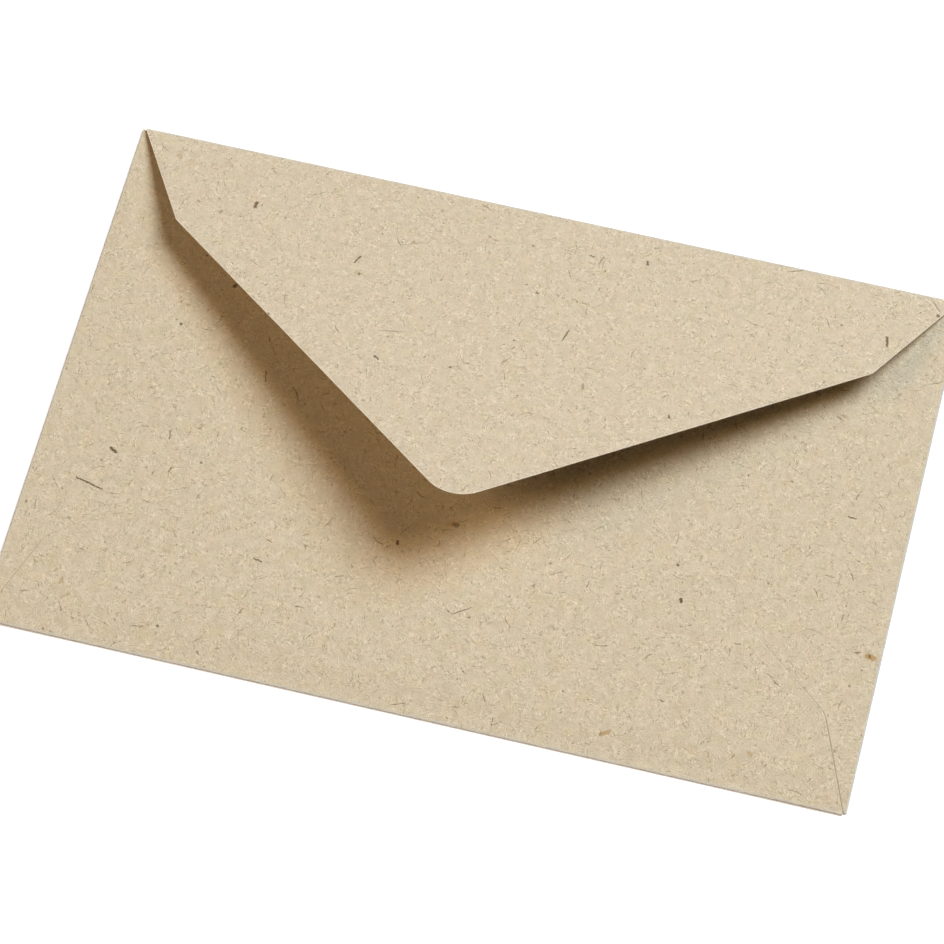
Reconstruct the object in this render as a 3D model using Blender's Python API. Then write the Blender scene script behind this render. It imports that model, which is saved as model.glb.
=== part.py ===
"""Diagonal-seam letter envelope in kraft paper, lying on its address face with the back up.

The sheet is folded round its address wall: two side flaps, a bottom flap glued over them, and
a pointed seal flap that turns on the top crease and stands a little open.
Frame: +X along the long side, +Y towards the top crease, +Z up. The origin is the middle of
the outline, on the surface that the envelope rests on. Metres; angles in degrees.
"""
import math

import bmesh
import bpy
from mathutils import Vector

# Overall size and sheet
ENVELOPE_WIDTH = 0.176
ENVELOPE_HEIGHT = 0.120
PAPER = 0.00015
POCKET_AIR = 0.00030
GLUE_FILM = 0.00003
GUM_FILM = 0.00003

# Clearances
LAYER_GAP = 0.00002
CREASE_GAP = 0.00002
CLOSED_GAP = 0.00005
ROLL_GAP = 0.00005

# Seal flap: its shoulders slope in from the ends of the top crease to the kinks, and its
# straight edges run on to a rounded point
FLAP_LIFT = 14.0
FLAP_END_INSET = 0.0006
FLAP_KINK_INSET = 0.0148
FLAP_KINK_DROP = 0.0255
FLAP_POINT_DEPTH = 0.0843
FLAP_KINK_RADIUS = 0.005
FLAP_POINT_RADIUS = 0.006

# Bottom flap, measured the same way from the bottom crease
BOTTOM_END_INSET = 0.0003
BOTTOM_KINK_INSET = 0.0092
BOTTOM_KINK_RISE = 0.0215
BOTTOM_POINT_RISE = 0.0850
BOTTOM_KINK_RADIUS = 0.005
BOTTOM_POINT_RADIUS = 0.009

# Side flaps: they run under the bottom flap by the seam overlap, and their upper edges slope
# down to the middle as the throat of the pocket
SEAM_OVERLAP = 0.014
THROAT_START = 0.0004
THROAT_DROP = 0.034
SIDE_NOSE_GAP = 0.014
SIDE_NOSE_RADIUS = 0.007
SIDE_FOOT_RISE = 0.0006

# Glue and gum
SEAM_GLUE_WIDTH = 0.007
SEAM_GLUE_INSET = 0.003
SEAM_GLUE_END = 0.004
GUM_WIDTH = 0.011
GUM_INSET = 0.0025
GUM_POINT_RADIUS = 0.005

# Facets on round edges
CREASE_FACETS = 10
CORNER_FACETS = 8

KRAFT = (0.70, 0.59, 0.44)
KRAFT_EDGE = (0.60, 0.49, 0.35)
DRY_GLUE = (0.80, 0.74, 0.60)
DRY_GUM = (0.72, 0.64, 0.50)

# Levels of the stacked layers, upwards from the surface
FRONT_TOP = PAPER
SIDE_LOW = FRONT_TOP + POCKET_AIR
SIDE_TOP = SIDE_LOW + PAPER
GLUE_LOW = SIDE_TOP + LAYER_GAP
BOTTOM_LOW = GLUE_LOW + GLUE_FILM + LAYER_GAP
BOTTOM_TOP = BOTTOM_LOW + PAPER
GUM_LOW = BOTTOM_TOP + CLOSED_GAP
FLAP_LOW = GUM_LOW + GUM_FILM + LAYER_GAP
FLAP_TOP = FLAP_LOW + PAPER

# Each crease is pressed hard, so its section is a solid half round as high as what it joins
HALF_WIDTH = ENVELOPE_WIDTH / 2
HALF_HEIGHT = ENVELOPE_HEIGHT / 2
SIDE_CREASE_RADIUS = SIDE_TOP / 2
BOTTOM_CREASE_RADIUS = BOTTOM_TOP / 2
TOP_CREASE_RADIUS = FLAP_TOP / 2
HINGE_Y = HALF_HEIGHT - TOP_CREASE_RADIUS
HINGE_Z = TOP_CREASE_RADIUS


def clear_scene():
    for item in list(bpy.data.objects):
        bpy.data.objects.remove(item, do_unlink=True)


def paint(name, colour, roughness):
    """A plain matt or satin material."""
    material = bpy.data.materials.new(name)
    material.use_nodes = True
    shader = material.node_tree.nodes["Principled BSDF"]
    shader.inputs["Base Color"].default_value = (*colour, 1.0)
    shader.inputs["Roughness"].default_value = roughness
    shader.inputs["Metallic"].default_value = 0.0
    return material


def crossing(point_a, direction_a, point_b, direction_b):
    """Where two lines in the plane meet, each given by a point and a direction."""
    turn = direction_a.x * direction_b.y - direction_a.y * direction_b.x
    step = point_b - point_a
    along = (step.x * direction_b.y - step.y * direction_b.x) / turn
    return point_a + direction_a * along


def rounded_outline(corners):
    """Outline through corners given as (x, y, radius), with each corner that has a radius
    rounded by an arc. An arc takes at most half of either edge beside it."""
    outline = []
    for index, (x, y, radius) in enumerate(corners):
        corner = Vector((x, y))
        if radius == 0:
            outline.append(corner)
            continue
        back = Vector(corners[index - 1][:2]) - corner
        ahead = Vector(corners[(index + 1) % len(corners)][:2]) - corner
        half_angle = back.angle(ahead) / 2
        trim = min(radius / math.tan(half_angle), back.length / 2, ahead.length / 2)
        arc_radius = trim * math.tan(half_angle)
        back.normalize()
        ahead.normalize()
        centre = corner + (back + ahead).normalized() * (trim / math.cos(half_angle))
        first = corner + back * trim - centre
        last = corner + ahead * trim - centre
        sweep = first.angle_signed(last)
        for step in range(CORNER_FACETS + 1):
            turn = -sweep * step / CORNER_FACETS
            cosine = math.cos(turn)
            sine = math.sin(turn)
            spoke = Vector((first.x * cosine - first.y * sine, first.x * sine + first.y * cosine))
            outline.append(centre + spoke.normalized() * arc_radius)
    return outline


def extruded(name, loop, along, material):
    """A closed solid: the flat loop of 3D points pushed along a vector."""
    mesh = bpy.data.meshes.new(name)
    shape = bmesh.new()
    base = shape.faces.new([shape.verts.new(point) for point in loop])
    pushed = bmesh.ops.extrude_face_region(shape, geom=[base])
    moved = [item for item in pushed["geom"] if isinstance(item, bmesh.types.BMVert)]
    bmesh.ops.translate(shape, verts=moved, vec=along)
    bmesh.ops.recalc_face_normals(shape, faces=shape.faces)
    shape.to_mesh(mesh)
    shape.free()
    mesh.materials.append(material)
    piece = bpy.data.objects.new(name, mesh)
    bpy.context.scene.collection.objects.link(piece)
    return piece


def sheet(name, outline, low, thickness, material):
    """A flat layer: an outline in the plane, from a level upwards."""
    loop = [(point.x, point.y, low) for point in outline]
    return extruded(name, loop, Vector((0, 0, thickness)), material)


def crease(name, start, end, outwards, radius, material):
    """A pressed crease: a half round from start to end, resting on the surface and bulging
    outwards, with its flat side at the start and end points."""
    loop = []
    for step in range(CREASE_FACETS + 1):
        turn = math.pi * step / CREASE_FACETS
        reach = outwards * (radius * math.sin(turn))
        loop.append(start + reach + Vector((0, 0, radius - radius * math.cos(turn))))
    piece = extruded(name, loop, end - start, material)
    piece.data.shade_smooth()
    piece.data.set_sharp_from_angle(angle=math.radians(40))
    return piece


def mirrored(outline):
    return [Vector((-point.x, point.y)) for point in reversed(outline)]


def pointed_flap(crease_y, away, end_inset, kink_inset, kink_rise, point_rise, radii, start):
    """Outline of a pointed flap: shoulders from the ends of its crease to the kinks, then
    straight edges to a rounded point. Away is -1 or 1, the way that it runs along Y, and
    start is how far from the crease line the flat part begins."""
    kink_radius, point_radius = radii
    end_x = HALF_WIDTH - end_inset
    kink_x = HALF_WIDTH - kink_inset
    start_x = end_x - (end_x - kink_x) * start / kink_rise
    right_side = [
        (start_x, crease_y + away * start, 0),
        (kink_x, crease_y + away * kink_rise, kink_radius),
    ]
    left_side = [(-x, y, radius) for x, y, radius in reversed(right_side)]
    point = [(0, crease_y + away * point_rise, point_radius)]
    return rounded_outline(right_side + point + left_side)


def front_panel(material):
    """The address wall, between the four creases."""
    right_x = HALF_WIDTH - SIDE_CREASE_RADIUS - CREASE_GAP
    low_y = -HALF_HEIGHT + BOTTOM_CREASE_RADIUS + CREASE_GAP
    high_y = HINGE_Y - CREASE_GAP
    outline = [
        Vector((-right_x, low_y)),
        Vector((right_x, low_y)),
        Vector((right_x, high_y)),
        Vector((-right_x, high_y)),
    ]
    return sheet("front_panel", outline, 0, PAPER, material)


def seam_line():
    """The right-hand straight edge of the bottom flap: a point and a unit direction up it."""
    kink = Vector((HALF_WIDTH - BOTTOM_KINK_INSET, -HALF_HEIGHT + BOTTOM_KINK_RISE))
    point = Vector((0, -HALF_HEIGHT + BOTTOM_POINT_RISE))
    return kink, (point - kink).normalized()


def below_seam(distance):
    """The seam line moved inwards, under the bottom flap, by a distance."""
    kink, upwards = seam_line()
    inwards = Vector((-upwards.y, upwards.x))
    return kink + inwards * distance, upwards


def side_flap_ends():
    """Lowest and highest point of a side flap along its own crease."""
    return -HALF_HEIGHT + SIDE_FOOT_RISE, HALF_HEIGHT - TOP_CREASE_RADIUS - THROAT_START


def side_flap(name, mirror, material):
    """A side panel with a blunt nose near the middle."""
    outer_x = HALF_WIDTH - SIDE_CREASE_RADIUS - CREASE_GAP
    nose_x = SIDE_NOSE_GAP / 2
    foot_y, throat_y = side_flap_ends()
    up = Vector((0, 1))
    lower_point, upwards = below_seam(SEAM_OVERLAP)
    lower_nose = crossing(lower_point, upwards, Vector((nose_x, 0)), up)
    lower_outer = crossing(lower_point, upwards, Vector((outer_x, 0)), up)
    throat_slope = THROAT_DROP / outer_x
    upper_nose_y = throat_y - throat_slope * (outer_x - nose_x)
    foot_x = outer_x
    if lower_outer.y < foot_y:
        foot_x = crossing(lower_point, upwards, Vector((0, foot_y)), Vector((1, 0))).x
    corners = [
        (foot_x, max(foot_y, lower_outer.y), 0),
        (outer_x, max(foot_y, lower_outer.y), 0),
        (outer_x, throat_y, 0),
        (nose_x, upper_nose_y, SIDE_NOSE_RADIUS),
        (nose_x, lower_nose.y, SIDE_NOSE_RADIUS),
    ]
    if foot_x == outer_x:
        del corners[0]
    outline = rounded_outline(corners)
    if mirror:
        outline = mirrored(outline)
    return sheet(name, outline, SIDE_LOW, PAPER, material)


def bottom_flap(material):
    start = BOTTOM_CREASE_RADIUS + CREASE_GAP
    outline = pointed_flap(-HALF_HEIGHT, 1, BOTTOM_END_INSET, BOTTOM_KINK_INSET, BOTTOM_KINK_RISE,
                           BOTTOM_POINT_RISE, (BOTTOM_KINK_RADIUS, BOTTOM_POINT_RADIUS), start)
    return sheet("bottom_flap", outline, BOTTOM_LOW, PAPER, material)


def seam_glue(name, mirror, material):
    """A straight line of glue under the edge of the bottom flap, on the side flap."""
    near, upwards = below_seam(SEAM_GLUE_INSET)
    far, _ = below_seam(SEAM_GLUE_INSET + SEAM_GLUE_WIDTH)
    inwards = (far - near).normalized()
    low_end = near + upwards * (BOTTOM_KINK_RADIUS / 2 + SEAM_GLUE_END)
    nose = Vector((SIDE_NOSE_GAP / 2 + SIDE_NOSE_RADIUS + SEAM_GLUE_END, 0))
    high_end = crossing(near, upwards, nose, Vector((0, 1)))
    outline = [
        low_end,
        high_end,
        high_end + inwards * SEAM_GLUE_WIDTH,
        low_end + inwards * SEAM_GLUE_WIDTH,
    ]
    if mirror:
        outline = mirrored(outline)
    return sheet(name, outline, GLUE_LOW, GLUE_FILM, material)


def flap_hinge():
    """Empty on the axis of the top crease, turned by the lift of the flap."""
    hinge = bpy.data.objects.new("flap_hinge", None)
    hinge.location = (0, HINGE_Y, HINGE_Z)
    hinge.rotation_euler = (-math.radians(FLAP_LIFT), 0, 0)
    bpy.context.scene.collection.objects.link(hinge)
    return hinge


def flap_root():
    """How far from the hinge axis the flat part starts, so that it clears the crease."""
    inner = FLAP_LOW - HINGE_Z
    return math.sqrt((TOP_CREASE_RADIUS + ROLL_GAP) ** 2 - inner ** 2)


def seal_flap(hinge, material):
    """The closing flap, drawn closed in the frame of its hinge, whose axis is the origin."""
    start = TOP_CREASE_RADIUS + flap_root()
    outline = pointed_flap(TOP_CREASE_RADIUS, -1, FLAP_END_INSET, FLAP_KINK_INSET, FLAP_KINK_DROP,
                           FLAP_POINT_DEPTH, (FLAP_KINK_RADIUS, FLAP_POINT_RADIUS), start)
    flap = sheet("seal_flap", outline, FLAP_LOW - HINGE_Z, PAPER, material)
    flap.parent = hinge
    return flap


def seal_gum(hinge, material):
    """The gum strip: a V along both straight edges of the seal flap."""
    kink = Vector((HALF_WIDTH - FLAP_KINK_INSET, TOP_CREASE_RADIUS - FLAP_KINK_DROP))
    point = Vector((0, TOP_CREASE_RADIUS - FLAP_POINT_DEPTH))
    outwards = (point - kink).normalized()
    inwards = Vector((outwards.y, -outwards.x))
    if inwards.y < 0:
        inwards = -inwards
    middle = Vector((0, 1))
    outer_end = kink + inwards * GUM_INSET + outwards * GUM_INSET
    outer_point = crossing(outer_end, outwards, Vector((0, 0)), middle)
    inner_end = outer_end + inwards * GUM_WIDTH
    inner_point = crossing(inner_end, outwards, Vector((0, 0)), middle)
    corners = [
        (outer_end.x, outer_end.y, 0),
        (outer_point.x, outer_point.y, GUM_POINT_RADIUS),
        (-outer_end.x, outer_end.y, 0),
        (-inner_end.x, inner_end.y, 0),
        (inner_point.x, inner_point.y, GUM_POINT_RADIUS),
        (inner_end.x, inner_end.y, 0),
    ]
    gum = sheet("seal_gum", rounded_outline(corners), GUM_LOW - HINGE_Z, GUM_FILM, material)
    gum.parent = hinge
    return gum


def creases(material):
    """The four pressed creases round the address wall. The top and bottom ones run the whole
    width, and the side ones run as far as their side flaps."""
    hinge_end = Vector((HALF_WIDTH, HINGE_Y, 0))
    crease("top_fold", Vector((-HALF_WIDTH, HINGE_Y, 0)), hinge_end, Vector((0, 1, 0)),
           TOP_CREASE_RADIUS, material("top_crease"))
    bottom_y = -HALF_HEIGHT + BOTTOM_CREASE_RADIUS
    crease("bottom_fold", Vector((-HALF_WIDTH, bottom_y, 0)), Vector((HALF_WIDTH, bottom_y, 0)),
           Vector((0, -1, 0)), BOTTOM_CREASE_RADIUS, material("bottom_crease"))
    foot_y, throat_y = side_flap_ends()
    side_x = HALF_WIDTH - SIDE_CREASE_RADIUS
    for name, side in (("left_fold", -1), ("right_fold", 1)):
        crease(name, Vector((side * side_x, foot_y, 0)), Vector((side * side_x, throat_y, 0)),
               Vector((side, 0, 0)), SIDE_CREASE_RADIUS, material(name + "_crease"))


def build():
    clear_scene()
    front_panel(paint("address_wall_kraft", KRAFT, 0.9))
    side_flap("left_side_flap", True, paint("left_flap_kraft", KRAFT, 0.9))
    side_flap("right_side_flap", False, paint("right_flap_kraft", KRAFT, 0.9))
    bottom_flap(paint("bottom_flap_kraft", KRAFT, 0.9))
    creases(lambda name: paint(name, KRAFT_EDGE, 0.92))
    seam_glue("left_seam_glue", True, paint("left_glue", DRY_GLUE, 0.5))
    seam_glue("right_seam_glue", False, paint("right_glue", DRY_GLUE, 0.5))
    hinge = flap_hinge()
    seal_flap(hinge, paint("seal_flap_kraft", KRAFT, 0.9))
    seal_gum(hinge, paint("gum", DRY_GUM, 0.3))


build()
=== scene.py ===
"""Kraft letter envelope with diagonal seams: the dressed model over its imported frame.

The envelope lies on its address face with the back up, and its pointed closing flap stands a
little open. Metres, in the frame of the CAD: +X along the long side, +Y towards the top crease,
+Z up. Every panel is a real thickness of paper, folded round its crease.
"""
import math

import bmesh
import bpy
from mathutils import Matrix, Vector


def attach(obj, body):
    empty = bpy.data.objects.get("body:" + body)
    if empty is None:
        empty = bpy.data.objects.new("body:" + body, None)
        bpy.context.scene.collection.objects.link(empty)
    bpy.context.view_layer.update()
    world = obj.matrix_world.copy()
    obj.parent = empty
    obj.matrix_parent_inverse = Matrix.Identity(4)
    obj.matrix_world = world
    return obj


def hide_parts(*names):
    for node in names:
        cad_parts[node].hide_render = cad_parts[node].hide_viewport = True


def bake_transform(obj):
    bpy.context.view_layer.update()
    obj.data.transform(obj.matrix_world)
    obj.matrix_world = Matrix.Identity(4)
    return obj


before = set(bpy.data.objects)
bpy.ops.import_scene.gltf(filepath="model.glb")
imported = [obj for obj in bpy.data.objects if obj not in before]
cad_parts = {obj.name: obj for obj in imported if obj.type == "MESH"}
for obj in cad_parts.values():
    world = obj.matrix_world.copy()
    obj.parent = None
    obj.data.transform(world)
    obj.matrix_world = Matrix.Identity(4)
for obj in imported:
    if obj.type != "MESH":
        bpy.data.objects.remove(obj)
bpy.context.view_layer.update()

# Camera. A long lens in front of the envelope and a little to its right, looking down at 61
# degrees. Its place, aim and roll come from the four outline edges in the photograph.
CAMERA_PLACE = Vector((0.10179, -0.45709, 0.83464))
CAMERA_AIM = Vector((-0.00103, -0.00326, 0.0))
CAMERA_ROLL = math.radians(1.276)
CAMERA_LENS = 179.98

aim_turn = (CAMERA_AIM - CAMERA_PLACE).to_track_quat("-Z", "Y").to_euler()
bpy.ops.object.camera_add(location=CAMERA_PLACE, rotation=aim_turn)
camera = bpy.context.object
camera.name = "photo_camera"
camera.rotation_euler.rotate_axis("Z", CAMERA_ROLL)
camera.data.sensor_width = 36
camera.data.lens = CAMERA_LENS
bpy.context.scene.camera = camera

# Address wall: the panel of the die-cut sheet that everything else folds round, between the
# four creases. It is 120 g recycled kraft paper, which is a felt of short pale and brown fibres
# with dark specks of bark in it.
PAPER = 0.00015
SIDE_CREASE_RADIUS = 0.00030
BOTTOM_CREASE_RADIUS = 0.00041
TOP_CREASE_RADIUS = 0.000535
HALF_WIDTH = 0.088
HALF_HEIGHT = 0.060
WALL_END_X = HALF_WIDTH - SIDE_CREASE_RADIUS
WALL_LOW_Y = -HALF_HEIGHT + BOTTOM_CREASE_RADIUS
HINGE_Y = HALF_HEIGHT - TOP_CREASE_RADIUS
HINGE_Z = TOP_CREASE_RADIUS
CUT_RIM = 0.00022
GRID_STEP = 0.006
WAVE_HEIGHT = 0.00006
WAVE_FADE = 0.012
FRAY = 0.00045
SMOOTH_ANGLE = math.radians(35)

KRAFT_OUTSIDE = (0.678, 0.581, 0.420, 1)
KRAFT_ROSY = (0.676, 0.568, 0.410, 1)
KRAFT_INSIDE = (0.585, 0.485, 0.340, 1)
KRAFT_CUT = (0.890, 0.800, 0.650, 1)
# The crease colour is partly scuffed paper and partly painted shade on the folds.
KRAFT_RUBBED_AND_SHADED = (0.640, 0.605, 0.530, 1)
BARK = (0.115, 0.066, 0.026, 1)
HUSK = (0.46, 0.28, 0.10, 1)


def add_node(tree, kind, sockets=None, **options):
    """Add a shader node, set its options, and fill its sockets with numbers or links."""
    made = tree.nodes.new("ShaderNode" + kind)
    for option, value in options.items():
        setattr(made, option, value)
    for socket, value in (sockets or {}).items():
        if isinstance(value, bpy.types.NodeSocket):
            tree.links.new(value, made.inputs[socket])
        else:
            made.inputs[socket].default_value = value
    return made


def figure(tree, operation, *terms):
    """A Math node's result."""
    return add_node(tree, "Math", dict(enumerate(terms)), operation=operation).outputs[0]


def vector_figure(tree, operation, *terms, output="Vector"):
    """A Vector Math node's result."""
    made = add_node(tree, "VectorMath", dict(enumerate(terms)), operation=operation)
    return made.outputs[output]


def vector_times(tree, vector, factor):
    """A vector times a number."""
    sockets = {0: vector, "Scale": factor}
    return add_node(tree, "VectorMath", sockets, operation="SCALE").outputs[0]


def turn_flat(tree, vector, angle):
    """A vector turned in the plane of the sheet."""
    sockets = {"Vector": vector, "Angle": angle}
    return add_node(tree, "VectorRotate", sockets, rotation_type="Z_AXIS").outputs[0]


def flat_noise(tree, place, scale, detail, roughness=0.5):
    """The outputs of a noise pattern in the plane of the sheet."""
    sockets = {"Vector": place, "Scale": scale, "Detail": detail, "Roughness": roughness}
    return add_node(tree, "TexNoise", sockets, noise_dimensions="2D").outputs


def stain(tree, amount, under, over, mode="MIX"):
    """Colour over another colour, by an amount."""
    sockets = {0: amount, 6: under, 7: over}
    mixer = add_node(tree, "Mix", sockets, data_type="RGBA", blend_type=mode)
    return mixer.outputs[2]


def ramp(tree, value, low, high, start=0.0, end=1.0):
    """A smooth step of a value from low to high, put out between start and end."""
    sockets = {"Value": value, 1: low, 2: high, 3: start, 4: end}
    return add_node(tree, "MapRange", sockets, interpolation_type="SMOOTHSTEP").outputs[0]


def new_group(name, inputs, outputs):
    """An empty node group. Inputs and outputs are given as (name, socket kind, value)."""
    tree = bpy.data.node_groups.new(name, "ShaderNodeTree")
    for direction, sockets in (("INPUT", inputs), ("OUTPUT", outputs)):
        for label, kind, value in sockets:
            socket = tree.interface.new_socket(label, in_out=direction, socket_type="NodeSocket" + kind)
            if value is not None:
                socket.default_value = value
    given = tree.nodes.new("NodeGroupInput")
    result = tree.nodes.new("NodeGroupOutput")
    return tree, given.outputs, result.inputs


def place_group(tree, group, sockets):
    """A node group's outputs, with its inputs filled."""
    return add_node(tree, "Group", sockets, node_tree=group).outputs


def start_material(name):
    """A new material, its nodes and its shader."""
    material = bpy.data.materials.new(name)
    material.use_nodes = True
    return material, material.node_tree, material.node_tree.nodes["Principled BSDF"]


def build_scatter_group():
    """One thing in each random cell of the sheet: a fibre where it is long, a speck where it is
    short. Spacing and Width are in metres, and Length is a share of the spacing."""
    tree, given, result = new_group(
        "scattered_fibres",
        [("Sheet", "Vector", None), ("Spacing", "Float", 0.002), ("Length", "Float", 0.4),
         ("Width", "Float", 0.0001), ("Bend", "Float", 1.0), ("Share", "Float", 1.0),
         ("Shift", "Float", 0.0)],
        [("Mask", "Float", None)],
    )
    per_metre = figure(tree, "DIVIDE", 1.0, given["Spacing"])
    shift = add_node(tree, "CombineXYZ", {"X": given["Shift"], "Y": given["Shift"]}).outputs[0]
    moved = vector_figure(tree, "ADD", vector_times(tree, given["Sheet"], per_metre), shift)
    cells = add_node(tree, "TexVoronoi", {"Vector": moved, "Scale": 1.0}, voronoi_dimensions="2D")
    dice = add_node(tree, "SeparateColor", {"Color": cells.outputs["Color"]}).outputs
    away = vector_figure(tree, "SUBTRACT", moved, cells.outputs["Position"])
    turned = turn_flat(tree, away, figure(tree, "MULTIPLY", dice[0], math.tau))
    local = add_node(tree, "SeparateXYZ", {"Vector": turned}).outputs
    bow = figure(tree, "MULTIPLY", figure(tree, "SUBTRACT", dice[1], 0.5), given["Bend"])
    bowed = figure(tree, "MULTIPLY", figure(tree, "MULTIPLY", local[0], local[0]), bow)
    across = figure(tree, "SUBTRACT", local[1], bowed)
    drawn_length = figure(tree, "MULTIPLY_ADD", dice[2], 0.65, 0.35)
    reach = figure(tree, "MULTIPLY", given["Length"], drawn_length)
    past_end = figure(tree, "SUBTRACT", figure(tree, "ABSOLUTE", local[0]), reach)
    beyond = figure(tree, "MAXIMUM", past_end, 0)
    square = figure(tree, "MULTIPLY_ADD", across, across, figure(tree, "MULTIPLY", beyond, beyond))
    distance = figure(tree, "SQRT", square)
    along = figure(tree, "DIVIDE", local[0], reach)
    taper = figure(tree, "MULTIPLY_ADD", figure(tree, "MULTIPLY", along, along), -0.6, 1.0)
    width = figure(tree, "MULTIPLY", given["Width"], per_metre)
    half = figure(tree, "MULTIPLY", width, figure(tree, "MULTIPLY_ADD", dice[1], 0.35, 0.30))
    half = figure(tree, "MULTIPLY", half, figure(tree, "MAXIMUM", taper, 0.3))
    core = figure(tree, "MULTIPLY", half, 0.55)
    outline = figure(tree, "MULTIPLY", half, 1.25)
    body = ramp(tree, distance, core, outline, 1.0, 0.0)
    second_draw = figure(tree, "MULTIPLY", dice[2], 5.17)
    chance = figure(tree, "FRACT", figure(tree, "MULTIPLY_ADD", dice[0], 7.31, second_draw))
    there = figure(tree, "LESS_THAN", chance, given["Share"])
    tree.links.new(figure(tree, "MULTIPLY", body, there), result["Mask"])
    return tree


def build_felt_group():
    """Tufts of fine streaks: in each random patch of the sheet they lie another way. The value
    is about 0, with streaks up to 1 and down to -1."""
    tree, given, result = new_group(
        "felt_streaks",
        [("Sheet", "Vector", None), ("Patch", "Float", 0.0018), ("Streak", "Float", 0.0009),
         ("Fine", "Float", 0.00016), ("Shift", "Float", 0.0)],
        [("Streaks", "Float", None)],
    )
    shift = add_node(tree, "CombineXYZ", {"X": given["Shift"], "Y": given["Shift"]}).outputs[0]
    ragged = flat_noise(tree, given["Sheet"], 900.0, 1.0)["Color"]
    pulled = vector_figure(tree, "ADD", given["Sheet"], vector_times(tree, ragged, 0.0012))
    patches = vector_times(tree, pulled, figure(tree, "DIVIDE", 1.0, given["Patch"]))
    moved = vector_figure(tree, "ADD", patches, shift)
    cells = add_node(tree, "TexVoronoi", {"Vector": moved, "Scale": 1.0}, voronoi_dimensions="2D")
    dice = add_node(tree, "SeparateColor", {"Color": cells.outputs["Color"]}).outputs
    turned = turn_flat(tree, given["Sheet"], figure(tree, "MULTIPLY", dice[0], math.tau))
    squeeze = add_node(tree, "CombineXYZ", {
        "X": figure(tree, "DIVIDE", 1.0, given["Streak"]),
        "Y": figure(tree, "DIVIDE", 1.0, given["Fine"]),
    }).outputs[0]
    stretched = vector_figure(tree, "MULTIPLY", turned, squeeze)
    grain = flat_noise(tree, stretched, 1.0, 1.5, 0.6)["Fac"]
    streaks = figure(tree, "MULTIPLY", figure(tree, "SUBTRACT", grain, 0.5), 2.6)
    tree.links.new(streaks, result["Streaks"])
    return tree


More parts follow.
